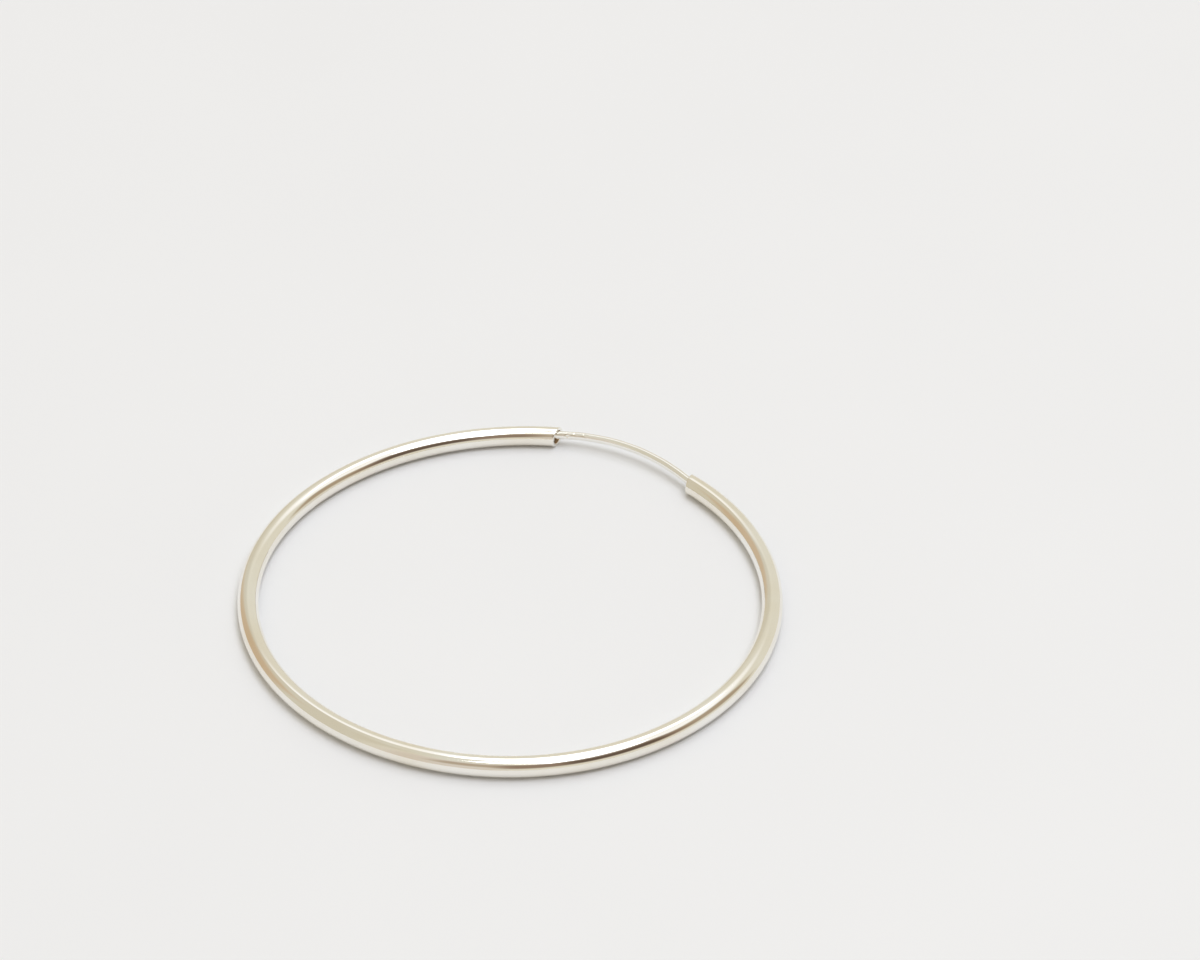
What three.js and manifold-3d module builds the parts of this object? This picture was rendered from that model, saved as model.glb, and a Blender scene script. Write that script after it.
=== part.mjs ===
// Endless hoop earring: a round hoop bent from thin silver tube, closed by an ear wire
// that is set in one end of the tube and springs into the open mouth of the other.
//
// Millimetres, +Z up. The hoop lies on its side as it does on a table: the underside of
// the tube is at z = 0, the middle of its round is the origin, and the gap that the ear
// wire bridges is on +Y, with the wire's fixed end at -X and the open mouth at +X.

import * as THREE from 'three';
import { mergeVertices } from 'three/addons/utils/BufferGeometryUtils.js';
import Module from 'manifold-3d';

// Driving dimensions
const HOOP_DIAMETER = 52; // outside
const TUBE_DIAMETER = 2;
const TUBE_WALL = 0.3;
const WIRE_DIAMETER = 0.8;
const GAP = 15.25; // between the tube's two mouths, which are sawn parallel to each other
const EASED_FROM = 166; // degrees: from here the tube eases out towards its fixed end
const EASED_RADIUS = 27.1; // of the centre line on that last stretch

// Facets
const TUBE_SIDES = 16; // a multiple of 4, so that a flat side lies on the table
const BORE_SIDES = 12;
const WIRE_SIDES = 12;
const STEP = 2.4; // along the tube
const WIRE_STEP = 1;

// The wire's bend, from its root inside the fixed end to its tip inside the open end.
// angle is counted from +X, out is how far past the hoop's centre line the wire lies,
// and up is how far it stands above the level of that line.
const WIRE_BEND = [
  { angle: 118, out: 0.67, up: 0 },
  { angle: 112.5, out: 0.84, up: 0.08 },
  { angle: 107, out: 0.98, up: 0.17 },
  { angle: 99.5, out: 1.18, up: 0.32 },
  { angle: 90.7, out: 1.1, up: 0.38 },
  { angle: 82.8, out: 0.76, up: 0.32 },
  { angle: 77, out: 0.39, up: 0.23 },
  { angle: 72.5, out: 0.1, up: 0.12 },
  { angle: 68, out: 0.08, up: 0.1 },
  { angle: 60, out: 0.08, up: 0.1 },
];

// Worked out from them
const TUBE_RADIUS = TUBE_DIAMETER / 2;
const LINE_RADIUS = HOOP_DIAMETER / 2 - TUBE_RADIUS; // of the hoop's centre line
const LEVEL = TUBE_RADIUS; // height of the centre line over the table

// The tube is swept a little past both mouths and then sawn to the gap.
const SWEEP_START = 78;
const SWEEP_END = 104;

const round = (angle, radius) => {
  const turn = THREE.MathUtils.degToRad(angle);
  return new THREE.Vector3(radius * Math.cos(turn), radius * Math.sin(turn), 0);
};

// The tube's centre line: clockwise round the hoop from the open mouth, then on a larger
// radius, tangent to the first, to the fixed end.
class HoopLine extends THREE.Curve {
  constructor() {
    super();
    this.easedCentre = round(EASED_FROM, LINE_RADIUS - EASED_RADIUS);
    this.mainLength = LINE_RADIUS * THREE.MathUtils.degToRad(SWEEP_START + 360 - EASED_FROM);
    this.easedLength = EASED_RADIUS * THREE.MathUtils.degToRad(EASED_FROM - SWEEP_END);
  }

  getPoint(t, target = new THREE.Vector3()) {
    const along = t * (this.mainLength + this.easedLength);
    if (along < this.mainLength) {
      const angle = SWEEP_START - THREE.MathUtils.radToDeg(along / LINE_RADIUS);
      target.copy(round(angle, LINE_RADIUS));
    } else {
      const turned = THREE.MathUtils.radToDeg((along - this.mainLength) / EASED_RADIUS);
      target.copy(round(EASED_FROM - turned, EASED_RADIUS)).add(this.easedCentre);
    }
    return target.setZ(LEVEL);
  }
}

// A regular polygon whose flats lie at the given radius, the first of them facing +X.
const polygon = (radius, sides) =>
  Array.from({ length: sides }, (_, i) => {
    const turn = ((i + 0.5) * 2 * Math.PI) / sides;
    const corner = radius / Math.cos(Math.PI / sides);
    return new THREE.Vector2(corner * Math.cos(turn), corner * Math.sin(turn));
  });

const sweep = (section, line, step) =>
  new THREE.ExtrudeGeometry(section, {
    extrudePath: line,
    steps: Math.round(line.getLength() / step),
    bevelEnabled: false,
  });

const wasm = await Module();
wasm.setup();

const toSolid = (geometry) => {
  const bare = geometry.index ? geometry.toNonIndexed() : geometry.clone();
  bare.deleteAttribute('normal');
  bare.deleteAttribute('uv');
  const merged = mergeVertices(bare, 1e-5);
  return new wasm.Manifold(
    new wasm.Mesh({
      numProp: 3,
      vertProperties: new Float32Array(merged.attributes.position.array),
      triVerts: new Uint32Array(merged.index.array),
    }),
  );
};

const toGeometry = (solid) => {
  const mesh = solid.getMesh();
  const geometry = new THREE.BufferGeometry();
  geometry.setAttribute('position', new THREE.BufferAttribute(mesh.vertProperties, 3));
  geometry.setIndex(new THREE.BufferAttribute(mesh.triVerts, 1));
  geometry.computeVertexNormals();
  return geometry;
};

// The hoop: tube, open at both ends, with a straight saw cut of the gap's width.
const hoopTube = () => {
  const section = new THREE.Shape(polygon(TUBE_RADIUS, TUBE_SIDES));
  section.holes.push(new THREE.Path(polygon(TUBE_RADIUS - TUBE_WALL, BORE_SIDES).reverse()));
  const tube = toSolid(sweep(section, new HoopLine(), STEP));

  const sawCut = new THREE.BoxGeometry(GAP, LINE_RADIUS / 2, 4 * TUBE_DIAMETER);
  sawCut.translate(0, LINE_RADIUS, LEVEL);
  return toGeometry(tube.subtract(toSolid(sawCut)));
};

// The ear wire: its root stands a few millimetres inside the fixed end, it bows a little
// outwards and upwards over the gap, and its tip slides into the open mouth.
const earWire = () => {
  const line = new THREE.CatmullRomCurve3(
    WIRE_BEND.map(({ angle, out, up }) => round(angle, LINE_RADIUS + out).setZ(LEVEL + up)),
  );
  return sweep(new THREE.Shape(polygon(WIRE_DIAMETER / 2, WIRE_SIDES)), line, WIRE_STEP);
};

const piece = (name, geometry, color, roughness) => {
  const material = new THREE.MeshStandardMaterial({ color, roughness, metalness: 1 });
  const mesh = new THREE.Mesh(geometry, material);
  mesh.name = name;
  return mesh;
};

const group = new THREE.Group();
group.name = 'hoop_earring';
group.add(piece('hoop_tube', hoopTube(), '#e8e2d3', 0.14));
group.add(piece('ear_wire', earWire(), '#e5dfd0', 0.2));

export default group;
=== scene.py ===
# A hoop earring of thin silver tube, lying on a pale table: a round hoop, open at both ends,
# and the ear wire that closes it.
#
# Metres, +Z up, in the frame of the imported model: the middle of the hoop's round is the
# origin, the table is z = 0, the ear wire bridges the gap on +Y, the wire's fixed end is at
# -X and the open mouth is at +X.

import math

import bmesh
import bpy
from mathutils import Matrix, Vector


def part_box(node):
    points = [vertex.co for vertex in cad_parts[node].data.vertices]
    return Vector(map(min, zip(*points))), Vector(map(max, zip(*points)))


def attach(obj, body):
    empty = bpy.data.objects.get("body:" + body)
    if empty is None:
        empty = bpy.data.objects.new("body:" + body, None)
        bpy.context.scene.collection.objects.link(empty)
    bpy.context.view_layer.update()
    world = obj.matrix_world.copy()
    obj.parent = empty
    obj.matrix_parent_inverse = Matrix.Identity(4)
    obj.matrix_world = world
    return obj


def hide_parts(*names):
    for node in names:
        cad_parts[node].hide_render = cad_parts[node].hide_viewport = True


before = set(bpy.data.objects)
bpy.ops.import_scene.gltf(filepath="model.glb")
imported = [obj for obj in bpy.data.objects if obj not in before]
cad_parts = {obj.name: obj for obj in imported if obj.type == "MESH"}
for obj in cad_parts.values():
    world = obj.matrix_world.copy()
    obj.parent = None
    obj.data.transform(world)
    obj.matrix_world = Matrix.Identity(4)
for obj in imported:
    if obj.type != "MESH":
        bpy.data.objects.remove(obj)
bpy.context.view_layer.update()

MM = 0.001

# ---------------------------------------------------------------------------------- sizes

hoop_low, hoop_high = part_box("hoop_tube")
TUBE_RADIUS = (hoop_high[2] - hoop_low[2]) / 2
LEVEL = (hoop_high[2] + hoop_low[2]) / 2  # of the tube's centre line, over the table
TUBE_WALL = 0.3 * MM
BORE_RADIUS = TUBE_RADIUS - TUBE_WALL
LINE_RADIUS = 25 * MM  # of the hoop's centre line
WIRE_RADIUS = 0.4 * MM
HALF_GAP = 7.625 * MM  # the mouths are sawn parallel to each other, this far from the middle

EASED_FROM = 166  # degrees: from here the tube eases out towards its fixed end
EASED_RADIUS = 27.1 * MM

TUBE_SIDES = 56
BEND_STEP = 1.2  # degrees
MOUTH_STEP = 2.4  # degrees: one longer step of the bend, which each saw cut falls inside
RIM_ROUNDING = 0.06 * MM
NEAR_CUTS = 0.8 * LINE_RADIUS  # every face that a saw cut meets lies past this, on +Y
ON_PLANE = 0.002 * MM  # how near a saw cut's plane a corner has to be to count as on it
WELD = 0.001 * MM  # corners closer than this are one corner
BORE_SLACK = 0.02 * MM  # how far out of the bore's radius the middle of its faces may lie
IN_GAP = 100  # degrees, a place in the gap: points past it go with the eased bend
DRAWN_OUT = 1 * MM  # how far the bore's rim is drawn into the gap while it is bridged

# The ear wire's bend, from its root to its tip: degrees from +X, how far the wire lies past
# the hoop's centre line, and how far it stands above that line's level, in millimetres.
WIRE_BEND = (
    (118, 0.67, 0.0),
    (112.5, 0.86, 0.1),
    (107, 1.02, 0.21),
    (99.5, 1.19, 0.34),
    (90.7, 1.1, 0.4),
    (82.8, 0.77, 0.34),
    (77, 0.41, 0.26),
    (72.5, 0.15, 0.17),
    (68, 0.11, 0.14),
    (60, 0.1, 0.12),
)
WIRE_SIDES = 28
WIRE_STEP = 0.1 * MM
TIP_ROUNDING = 0.16 * MM
ON_TIP = 0.01 * MM  # how near a tip's plane a corner of the wire has to be to count as on it
ROOT_LENGTH = 5.0 * MM  # of the wire, inside the fixed end of the tube

# Small nicks in the wire near its root, such as pliers leave: how far past the fixed mouth,
# degrees round the wire from its upper side towards the inside of the hoop, and the nick's
# length and depth. Millimetres.
WIRE_NICKS = (
    (0.95, 72, 0.35, 0.09),
    (1.8, 38, 0.5, 0.015),
    (2.8, 38, 0.55, 0.02),
)
NICK_WIDTH = 25  # degrees either way


# ---------------------------------------------------------------------------------- tools


def srgb(hex_colour):
    """A colour written as sRGB hex, as the linear colour that a socket takes."""
    parts = [int(hex_colour[i : i + 2], 16) / 255 for i in (1, 3, 5)]
    return tuple(c / 12.92 if c <= 0.04045 else ((c + 0.055) / 1.055) ** 2.4 for c in parts) + (1,)


def round_point(angle, radius, height=0.0):
    turn = math.radians(angle)
    return Vector((radius * math.cos(turn), radius * math.sin(turn), height))


def deselect():
    if bpy.context.object and bpy.context.object.mode != "OBJECT":
        bpy.ops.object.mode_set(mode="OBJECT")
    bpy.ops.object.select_all(action="DESELECT")


def apply_place():
    bpy.ops.object.transform_apply(location=True, rotation=True, scale=True)


def edit():
    bpy.ops.object.mode_set(mode="EDIT")


def done_editing():
    bpy.ops.object.mode_set(mode="OBJECT")


def pick(kind, wanted):
    """In edit mode: select just the vertices, edges or faces that wanted() is true of."""
    bpy.ops.mesh.select_mode(type=kind)
    bpy.ops.mesh.select_all(action="DESELECT")
    mesh = bpy.context.object.data
    shape = bmesh.from_edit_mesh(mesh)
    for item in {"VERT": shape.verts, "EDGE": shape.edges, "FACE": shape.faces}[kind]:
        if wanted(item):
            item.select = True
    shape.select_flush_mode()
    bmesh.update_edit_mesh(mesh)


def tidy_shell():
    bpy.ops.mesh.select_all(action="SELECT")
    bpy.ops.mesh.remove_doubles(threshold=WELD)
    bpy.ops.mesh.normals_make_consistent(inside=False)


EASED_CENTRE = round_point(EASED_FROM, LINE_RADIUS - EASED_RADIUS, LEVEL)

# Where the centre line meets each saw cut, in degrees round its own bend. The tube is bent
# half a MOUTH_STEP past both, and is then sawn.
OPEN_MOUTH = math.degrees(math.acos(HALF_GAP / LINE_RADIUS))
FIXED_MOUTH = math.degrees(math.acos((-HALF_GAP - EASED_CENTRE.x) / EASED_RADIUS))


def from_line(point):
    """How far a point of the hoop is from the tube's centre line, and out past that line."""
    angle = math.degrees(math.atan2(point.y, point.x)) % 360
    eased = IN_GAP < angle < EASED_FROM
    centre = EASED_CENTRE if eased else Vector((0, 0, LEVEL))
    out = (point - centre).xy.length - (EASED_RADIUS if eased else LINE_RADIUS)
    return math.hypot(out, point.z - LEVEL), out


# --------------------------------------------------------------------------------- pieces


def bent_tube():
    """The hoop: a tube's two round walls bent round, then sawn to the gap at both ends."""
    deselect()
    first_ring = OPEN_MOUTH + MOUTH_STEP / 2
    start = round_point(first_ring, LINE_RADIUS, LEVEL)
    stand = (math.radians(90), 0, math.radians(first_ring))
    bpy.ops.mesh.primitive_circle_add(
        vertices=TUBE_SIDES, radius=TUBE_RADIUS, location=start, rotation=stand
    )
    apply_place()
    tube = bpy.context.object
    tube.name = tube.data.name = "silver_hoop_tube"
    edit()
    bpy.ops.mesh.select_all(action="DESELECT")
    bpy.ops.mesh.primitive_circle_add(
        vertices=TUBE_SIDES, radius=BORE_RADIUS, location=start, rotation=stand
    )
    bpy.ops.mesh.select_all(action="SELECT")
    hoop_centre = Vector((0, 0, LEVEL))
    main_bend = OPEN_MOUTH - MOUTH_STEP / 2 + 360 - EASED_FROM
    last_bend = EASED_FROM - FIXED_MOUTH - MOUTH_STEP / 2
    for degrees, centre, steps in (
        (MOUTH_STEP, hoop_centre, 1),
        (main_bend, hoop_centre, round(main_bend / BEND_STEP)),
        (last_bend, EASED_CENTRE, round(last_bend / BEND_STEP)),
        (MOUTH_STEP, EASED_CENTRE, 1),
    ):
        bpy.ops.mesh.spin(
            steps=steps,
            angle=math.radians(degrees),
            center=centre,
            axis=(0, 0, 1),  # the spin operator turns clockwise about it
        )

    # Each cut meets only edges that run along the tube, so its two rims, outside and in the
    # bore, have the same corners. The bore's rim is drawn out into the gap while the two are
    # bridged, because rims that lie in one plane can be joined back to front, and is then
    # put back.
    for side in (1, -1):
        mouth = side * HALF_GAP
        pick("FACE", lambda f: f.calc_center_median().y > NEAR_CUTS
             and side * f.calc_center_median().x > 0)
        bpy.ops.mesh.bisect(
            plane_co=(mouth, 0, 0), plane_no=(side, 0, 0), use_fill=False, clear_inner=True
        )
        drawn_out = side * DRAWN_OUT
        pick("VERT", lambda v: abs(v.co.x - mouth) < ON_PLANE and v.co.y > 0
             and from_line(v.co)[0] < (TUBE_RADIUS + BORE_RADIUS) / 2)
        bpy.ops.transform.translate(value=(-drawn_out, 0, 0))
        pick("EDGE", lambda e: e.is_boundary and side * e.verts[0].co.x > 0)
        bpy.ops.mesh.bridge_edge_loops()
        pick("VERT", lambda v: v.co.y > 0 and abs(v.co.x - mouth + drawn_out) < ON_PLANE)
        bpy.ops.transform.translate(value=(drawn_out, 0, 0))
    tidy_shell()
    on_face = lambda v: v.co.y > 0 and abs(abs(v.co.x) - HALF_GAP) < ON_PLANE
    pick("EDGE", lambda e: all(on_face(v) for v in e.verts)
         and not all(all(on_face(v) for v in f.verts) for f in e.link_faces))
    bpy.ops.mesh.bevel(offset=RIM_ROUNDING, segments=4, profile=0.5)
    tidy_shell()
    done_editing()
    return tube


def bend_curve():
    """The line that the straight wire is bent along."""
    deselect()
    bpy.ops.curve.primitive_bezier_curve_add()
    curve = bpy.context.object
    curve.data.resolution_u = 32
    curve.data.twist_mode = "Z_UP"
    spline = curve.data.splines[0]
    spline.bezier_points.add(len(WIRE_BEND) - len(spline.bezier_points))
    for point, (angle, out, up) in zip(spline.bezier_points, WIRE_BEND):
        point.co = round_point(angle, LINE_RADIUS + out * MM, LEVEL + up * MM)
        point.handle_left_type = point.handle_right_type = "AUTO"
    return curve


def straight_wire(length):
    """The wire before it is bent, lying along +X from the origin, with both tips rounded."""
    deselect()
    bpy.ops.mesh.primitive_circle_add(
        vertices=WIRE_SIDES, radius=WIRE_RADIUS, rotation=(0, math.radians(90), 0)
    )
    apply_place()
    wire = bpy.context.object
    wire.name = wire.data.name = "silver_ear_wire"
    edit()
    bpy.ops.mesh.select_all(action="SELECT")
    bpy.ops.mesh.edge_face_add()
    steps = round(length / WIRE_STEP)
    for _ in range(steps):
        bpy.ops.mesh.extrude_region_move(
            TRANSFORM_OT_translate={"value": (length / steps, 0, 0)}
        )
    tidy_shell()
    for end in (0, length):
        pick("EDGE", lambda e: all(abs(v.co.x - end) < ON_TIP for v in e.verts))
        bpy.ops.mesh.bevel(offset=TIP_ROUNDING, segments=4, profile=0.5)
    return wire


def nick_wire():
    """In edit mode, on the straight wire: press in the nicks near its root."""
    for past, turn, length, depth in WIRE_NICKS:
        middle = ROOT_LENGTH + past * MM
        facing = Vector((0, -math.sin(math.radians(turn)), math.cos(math.radians(turn))))
        for share in (1.0, 0.6):  # the nick is pressed deeper towards its middle
            limit = math.cos(math.radians(NICK_WIDTH * share))
            pick("VERT", lambda v: abs(v.co.x - middle) < share * length / 2 * MM
                 and v.co.dot(facing) > limit * Vector((0, v.co.y, v.co.z)).length)
            bpy.ops.transform.shrink_fatten(value=-depth / 2 * MM)


def ear_wire():
    """The springy wire, nicked near its root, then bent to its bow."""
    curve = bend_curve()
    wire = straight_wire(curve.data.splines[0].calc_length())
    nick_wire()
    done_editing()
    deselect()
    bpy.context.view_layer.objects.active = wire
    wire.select_set(True)
    bpy.ops.object.modifier_add(type="CURVE")
    bend = wire.modifiers[-1]
    bend.object = curve
    bend.deform_axis = "POS_X"
    bpy.ops.object.modifier_apply(modifier=bend.name)
    edit()
    tidy_shell()
    done_editing()
    deselect()
    curve.select_set(True)
    bpy.context.view_layer.objects.active = curve
    bpy.ops.object.delete()
    return wire


def is_in_bore(face):
    middle = face.calc_center_median()
    return from_line(middle)[0] < BORE_RADIUS + BORE_SLACK and not is_on_rim(face)


def is_on_rim(face):
    middle = face.calc_center_median()
    return middle.y > 0 and abs(middle.x) - HALF_GAP < RIM_ROUNDING / 2


def smooth(piece, angle):
    deselect()
    piece.select_set(True)
    bpy.context.view_layer.objects.active = piece
    bpy.ops.object.shade_smooth_by_angle(angle=math.radians(angle))


tube = bent_tube()
wire = ear_wire()
for piece in (tube, wire):
    smooth(piece, 50)

# -------------------------------------------------------------------------------- finishes

SILVER = "#F8F6F0"
SILVER_BLOOM = "#F3EDE0"
FILING_ANGLE = 35  # degrees, of the file's strokes across the sawn face


def place_on_hoop(point):
    """How far a point lies along the hoop, and its turn round the tube's centre line, which is
    half a turn either way at the seam, underneath."""
    angle = math.degrees(math.atan2(point.y, point.x)) % 360
    along = math.radians((90 - angle) % 360) * LINE_RADIUS
    return along, math.atan2(from_line(point)[1], point.z - LEVEL)


def map_along(piece):
    """Give each corner of a mesh its place along and round the hoop, in millimetres."""
    mesh = piece.data
    layer = mesh.uv_layers.new(name="along_the_metal")
    for face in mesh.polygons:
        spots = [place_on_hoop(mesh.vertices[v].co) for v in face.vertices]
        crosses_seam = max(s[1] for s in spots) - min(s[1] for s in spots) > math.pi
        for loop, (along, turn) in zip(face.loop_indices, spots):
            if crosses_seam and turn < 0:
                turn += 2 * math.pi
            layer.data[loop].uv = (along / MM, turn * TUBE_RADIUS / MM)


def node(tree, kind, inputs=None, **settings):
    """Add a node with its settings; an input is a value or the socket that feeds it."""
    made = tree.nodes.new(kind)
    for name, value in settings.items():
        setattr(made, name, value)
    for name, value in (inputs or {}).items():
        if isinstance(value, bpy.types.NodeSocket):
            tree.links.new(value, made.inputs[name])
        else:
            made.inputs[name].default_value = value
    return made


def new_material(name):
    material = bpy.data.materials.new(name)
    material.use_nodes = True
    material.node_tree.nodes.clear()
    return material, material.node_tree


def polished_sterling_silver():
    """Sterling silver tube, drawn, bent round and buffed by hand.

    Buffing leaves a near mirror with fine lines along the tube. The bending leaves slow
    swells in the wall, which make the reflected edges waver, and air leaves a faint warm
    bloom."""
    material, tree = new_material("polished_sterling_silver")
    along = node(tree, "ShaderNodeUVMap", uv_map="along_the_metal").outputs["UV"]

    def lines(length, width, detail):
        """Noise drawn out along the tube, its grains length by width millimetres."""
        grain = node(tree, "ShaderNodeMapping", {
            "Vector": along, "Scale": (1 / length, 1 / width, 1)})
        return node(tree, "ShaderNodeTexNoise", {
            "Vector": grain.outputs["Vector"], "Scale": 1.0, "Detail": detail}).outputs["Fac"]

    bloom = node(tree, "ShaderNodeTexNoise", {
        "Vector": node(tree, "ShaderNodeTexCoord").outputs["Object"],
        "Scale": 1 / (7 * MM), "Detail": 2.0}).outputs["Fac"]
    colour = node(tree, "ShaderNodeMix", {
        0: node(tree, "ShaderNodeMapRange", {
            "Value": bloom, "From Min": 0.35, "From Max": 0.75}).outputs["Result"],
        6: srgb(SILVER), 7: srgb(SILVER_BLOOM)}, data_type="RGBA").outputs[2]
    buffing = lines(5, 0.12, 3.0)
    swells = lines(7, 3, 1.0)
    roughness = node(tree, "ShaderNodeMapRange", {
        "Value": buffing, "From Min": 0.3, "From Max": 0.7, "To Min": 0.04, "To Max": 0.11})
    swell_bump = node(tree, "ShaderNodeBump", {
        "Height": swells, "Strength": 0.35, "Distance": 0.02 * MM})
    buff_bump = node(tree, "ShaderNodeBump", {
        "Height": buffing, "Strength": 0.2, "Distance": 0.002 * MM,
        "Normal": swell_bump.outputs["Normal"]})
    shader = node(tree, "ShaderNodeBsdfPrincipled", {
        "Base Color": colour, "Metallic": 1.0, "Roughness": roughness.outputs["Result"],
        "Normal": buff_bump.outputs["Normal"]})
    node(tree, "ShaderNodeOutputMaterial", {"Surface": shader.outputs["BSDF"]})
    return material


def drawn_silver_wire():
    """Hard drawn sterling wire: the draw plate leaves fine lines along it."""
    material, tree = new_material("drawn_silver_wire")
    along = node(tree, "ShaderNodeUVMap", uv_map="along_the_metal").outputs["UV"]
    grain = node(tree, "ShaderNodeMapping", {"Vector": along, "Scale": (1 / 3, 1 / 0.08, 1)})
    draw = node(tree, "ShaderNodeTexNoise", {
        "Vector": grain.outputs["Vector"], "Scale": 1.0, "Detail": 3.0}).outputs["Fac"]
    roughness = node(tree, "ShaderNodeMapRange", {
        "Value": draw, "From Min": 0.3, "From Max": 0.7, "To Min": 0.06, "To Max": 0.14})
    bump = node(tree, "ShaderNodeBump", {
        "Height": draw, "Strength": 0.3, "Distance": 0.004 * MM})
    shader = node(tree, "ShaderNodeBsdfPrincipled", {
        "Base Color": srgb(SILVER), "Metallic": 1.0,
        "Roughness": roughness.outputs["Result"], "Normal": bump.outputs["Normal"]})
    node(tree, "ShaderNodeOutputMaterial", {"Surface": shader.outputs["BSDF"]})
    return material


def unpolished_silver_bore():
    """The inside of the tube, as the draw bench left it.

    No buff reaches it, so it keeps a dull skin of oxide, mottled in two tans, and scatters
    light instead of mirroring it."""
    material, tree = new_material("unpolished_silver_bore")
    spots = node(tree, "ShaderNodeTexNoise", {
        "Vector": node(tree, "ShaderNodeTexCoord").outputs["Object"],
        "Scale": 1 / (0.6 * MM), "Detail": 3.0}).outputs["Fac"]
    colour = node(tree, "ShaderNodeMix", {
        0: node(tree, "ShaderNodeMapRange", {
            "Value": spots, "From Min": 0.35, "From Max": 0.65}).outputs["Result"],
        6: srgb("#D9BE9A"), 7: srgb("#C4A27A")}, data_type="RGBA").outputs[2]
    bump = node(tree, "ShaderNodeBump", {
        "Height": spots, "Strength": 0.4, "Distance": 0.01 * MM})
    shader = node(tree, "ShaderNodeBsdfPrincipled", {
        "Base Color": colour, "Metallic": 0.6, "Roughness": 0.5,
        "Normal": bump.outputs["Normal"]})
    node(tree, "ShaderNodeOutputMaterial", {"Surface": shader.outputs["BSDF"]})
    return material


def filed_silver_rim():
    """The sawn ends of the tube, trued with a fine file and rounded with a buff.

    The file's teeth leave straight satin scratches across the face, so it gleams softly
    where the tube beside it mirrors."""
    material, tree = new_material("filed_silver_rim")
    across = node(tree, "ShaderNodeMapping", {
        "Vector": node(tree, "ShaderNodeTexCoord").outputs["Object"],
        "Rotation": (math.radians(FILING_ANGLE), 0, 0),
        "Scale": (1 / (0.5 * MM), 1 / (1.5 * MM), 1 / (0.05 * MM))})
    scratches = node(tree, "ShaderNodeTexNoise", {
        "Vector": across.outputs["Vector"], "Scale": 1.0, "Detail": 2.0}).outputs["Fac"]
    roughness = node(tree, "ShaderNodeMapRange", {
        "Value": scratches, "From Min": 0.3, "From Max": 0.7, "To Min": 0.14, "To Max": 0.26})
    bump = node(tree, "ShaderNodeBump", {
        "Height": scratches, "Strength": 0.3, "Distance": 0.004 * MM})
    shader = node(tree, "ShaderNodeBsdfPrincipled", {
        "Base Color": srgb(SILVER), "Metallic": 1.0,
        "Roughness": roughness.outputs["Result"], "Normal": bump.outputs["Normal"]})
    node(tree, "ShaderNodeOutputMaterial", {"Surface": shader.outputs["BSDF"]})
    return material


def finish_faces(piece, material, wanted):
    """Give a piece one more material, on just the faces that wanted() is true of."""
    piece.data.materials.append(material)
    deselect()
    piece.select_set(True)
    bpy.context.view_layer.objects.active = piece
    edit()
    pick("FACE", wanted)
    piece.active_material_index = len(piece.data.materials) - 1
    bpy.ops.object.material_slot_assign()
    done_editing()


map_along(tube)
map_along(wire)
tube.data.materials.append(polished_sterling_silver())
finish_faces(tube, unpolished_silver_bore(), is_in_bore)
finish_faces(tube, filed_silver_rim(), is_on_rim)
wire.data.materials.append(drawn_silver_wire())

for piece, cad_node, slot in (
    (tube, "hoop_tube", "polished_silver_tube"),
    (wire, "ear_wire", "drawn_silver_wire"),
):
    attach(piece, "root")
    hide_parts(cad_node)

# ---------------------------------------------------------------------------------- studio

VIEW_AZIMUTH = 25.85  # degrees: the camera stands this far round from -Y towards +X
VIEW_ELEVATION = 36.6
VIEW_ROLL = 1.1
VIEW_DISTANCE = 350.9 * MM
AIM = Vector((-1.145, 21.455, 0)) * MM
LENS = 105
TABLE_SIDE = 6  # metres

TO_RIGHT = Vector((math.cos(math.radians(VIEW_AZIMUTH)), math.sin(math.radians(VIEW_AZIMUTH)), 0))
TO_BACK = Vector((-TO_RIGHT.y, TO_RIGHT.x, 0))
UP = Vector((0, 0, 1))


def towards(azimuth, elevation):
    """A direction: azimuth 0 is straight away from the camera, 90 is to its right."""
    turn, rise = math.radians(azimuth), math.radians(elevation)
    level = TO_RIGHT * math.sin(turn) + TO_BACK * math.cos(turn)
    return level * math.cos(rise) + UP * math.sin(rise)


def looking(place, aim, roll=0.0):
    """The placing of a camera or lamp at place that looks at aim."""
    turn = (aim - place).to_track_quat("-Z", "Y").to_matrix() @ Matrix.Rotation(
        math.radians(roll), 3, "Z"
    )
    return Matrix.Translation(place) @ turn.to_4x4()


def add_camera():
    place = AIM + towards(180, VIEW_ELEVATION) * VIEW_DISTANCE
    bpy.ops.object.camera_add()
    camera = bpy.context.object
    camera.matrix_world = looking(place, AIM, VIEW_ROLL)
    camera.data.lens = LENS
    camera.data.sensor_width = 36
    camera.data.clip_start = 0.01
    bpy.context.scene.camera = camera


def add_softbox(name, azimuth, elevation, distance, side, radiance, hex_colour):
    """A square lamp that looks at the earring from the way given, in degrees. distance and
    side are in metres."""
    bpy.ops.object.light_add(type="AREA")
    lamp = bpy.context.object
    lamp.name = lamp.data.name = name
    lamp.matrix_world = looking(towards(azimuth, elevation) * distance, Vector((0, 0, 0)))
    lamp.data.shape = "SQUARE"
    lamp.data.size = side
    lamp.data.color = srgb(hex_colour)[:3]
    lamp.data.energy = radiance * math.pi * side**2


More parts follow.
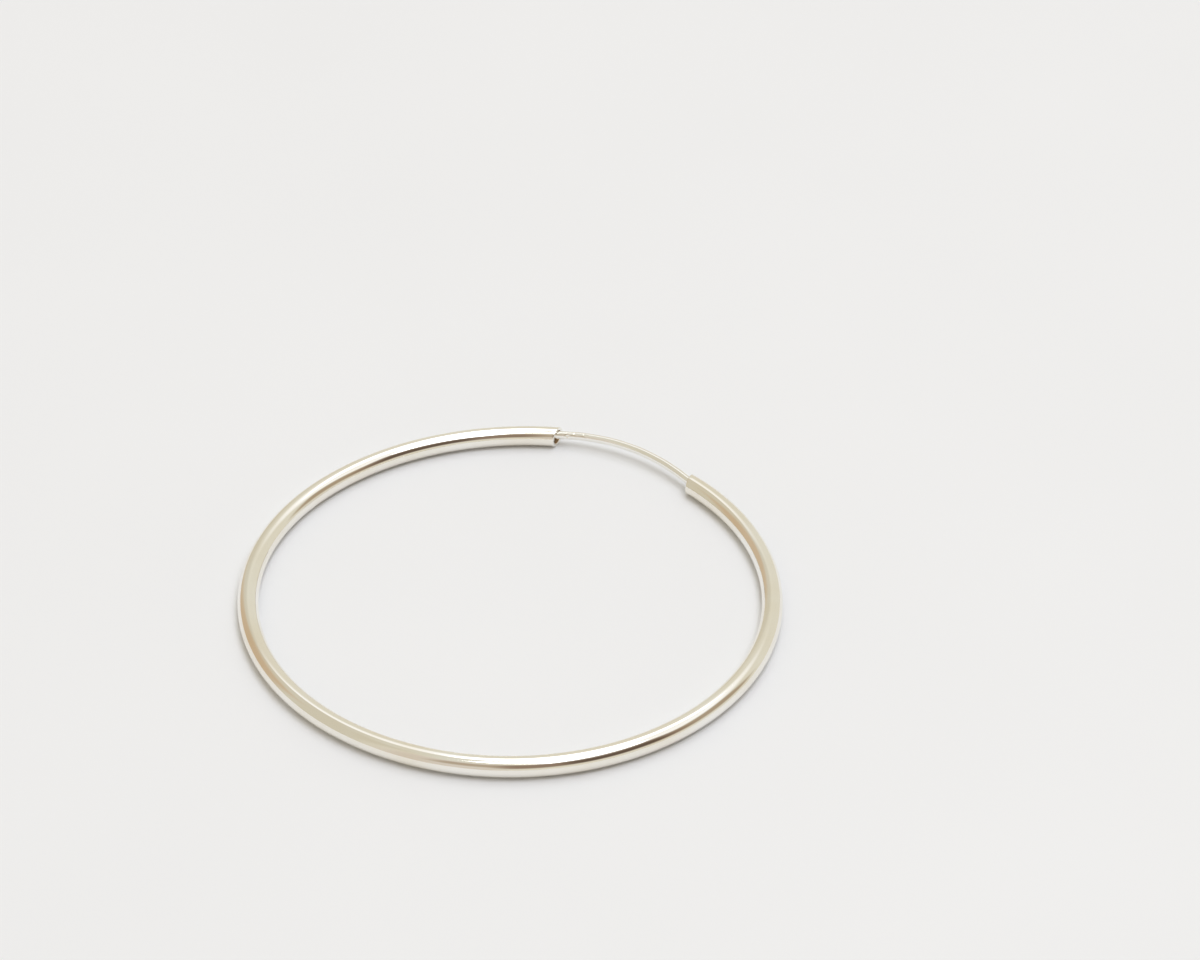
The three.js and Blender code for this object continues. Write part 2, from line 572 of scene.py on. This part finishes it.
# Soft patches of colour round the table for the metal to mirror: the way to the middle of
# each, how far it reaches to either side and up and down, how far its edge fades, all in
# degrees, its colour and its brightness. A later patch stands in front of those before it.
ROOM = (
    (290, 30, 45, 36, 20, "#D3CDBC", 1.0),  # tan, left
    (301, 16, 12, 14, 18, "#CBB69B", 1.0),  # deeper tan, low on the left
    (265, 90, 95, 18, 16, "#DCD9CC", 1.0),  # overhead, left
    (65, 80, 92, 30, 12, "#FFFFFF", 1.04),  # overhead, right, round the lamps
    (205, 25, 14, 24, 16, "#D8CFC4", 1.0),  # greyer, behind the camera
    (98, 28, 20, 8, 12, "#AC9B84", 1.0),  # grey-brown, right
    (192, 41, 12, 7, 12, "#B5A693", 1.0),  # grey-brown, behind the camera
    (143, 36, 32, 11, 14, "#917E6E", 1.0),  # darker, to the right and behind the camera
    (134, 34, 15, 7, 11, "#66574C", 1.0),  # the darkest part of it
)
ROOM_CREAM = "#E1DDCF"


def add_room():
    world = bpy.data.worlds.new("room")
    bpy.context.scene.world = world
    world.use_nodes = True
    tree = world.node_tree
    tree.nodes.clear()
    way = node(tree, "ShaderNodeTexCoord").outputs["Generated"]
    level = node(tree, "ShaderNodeVectorMath", {0: node(
        tree, "ShaderNodeVectorMath", {0: way, 1: (1, 1, 0)}, operation="MULTIPLY",
    ).outputs["Vector"]}, operation="NORMALIZE").outputs["Vector"]
    height = node(tree, "ShaderNodeSeparateXYZ", {0: way}).outputs["Z"]
    rise = node(tree, "ShaderNodeMath", {0: height}, operation="ARCSINE").outputs[0]
    base = node(tree, "ShaderNodeRGB")
    base.outputs[0].default_value = srgb(ROOM_CREAM)
    colour = base.outputs[0]
    for azimuth, elevation, wide, tall, fade, hex_colour, brightness in ROOM:
        facing = node(tree, "ShaderNodeVectorMath", {0: level, 1: towards(azimuth, 0)},
                      operation="DOT_PRODUCT").outputs["Value"]
        across = node(tree, "ShaderNodeMapRange", {
            "Value": facing,
            "From Min": math.cos(math.radians(min(wide + fade, 180))),
            "From Max": math.cos(math.radians(wide)),
        }, interpolation_type="SMOOTHSTEP").outputs["Result"]
        off = node(tree, "ShaderNodeMath", {
            0: rise, 1: math.radians(elevation)}, operation="SUBTRACT").outputs[0]
        upright = node(tree, "ShaderNodeMapRange", {
            "Value": node(tree, "ShaderNodeMath", {0: off}, operation="ABSOLUTE").outputs[0],
            "From Min": math.radians(tall + fade),
            "From Max": math.radians(tall),
        }, interpolation_type="SMOOTHSTEP").outputs["Result"]
        patch = node(tree, "ShaderNodeMath", {0: across, 1: upright}, operation="MULTIPLY")
        shade = [channel * brightness for channel in srgb(hex_colour)[:3]] + [1]
        colour = node(tree, "ShaderNodeMix", {0: patch.outputs[0], 6: colour, 7: shade},
                      data_type="RGBA").outputs[2]
    background = node(tree, "ShaderNodeBackground", {"Color": colour, "Strength": 1.0})
    node(tree, "ShaderNodeOutputWorld", {"Surface": background.outputs["Background"]})


def add_table():
    deselect()
    bpy.ops.mesh.primitive_plane_add(size=TABLE_SIDE)
    table = bpy.context.object
    table.name = table.data.name = "pale_table"
    material, tree = new_material("matt_white_laminate")
    grain = node(tree, "ShaderNodeTexNoise", {
        "Vector": node(tree, "ShaderNodeTexCoord").outputs["Object"],
        "Scale": 1 / (40 * MM), "Detail": 2.0}).outputs["Fac"]
    colour = node(tree, "ShaderNodeMix", {
        0: grain, 6: srgb("#EAECF0"), 7: srgb("#EDEFF3")}, data_type="RGBA").outputs[2]
    shader = node(tree, "ShaderNodeBsdfPrincipled", {
        "Base Color": colour, "Roughness": 0.8, "Specular IOR Level": 0.2})
    node(tree, "ShaderNodeOutputMaterial", {"Surface": shader.outputs["BSDF"]})
    table.data.materials.append(material)


add_camera()
add_softbox("front_softbox", 130, 75, 1.3, 0.7, 3.5, "#F4F8FF")
add_softbox("back_softbox", 15, 64, 1.2, 0.5, 1.4, "#FFFFFF")
add_room()
add_table()
bpy.context.scene.view_settings.view_transform = "Standard"
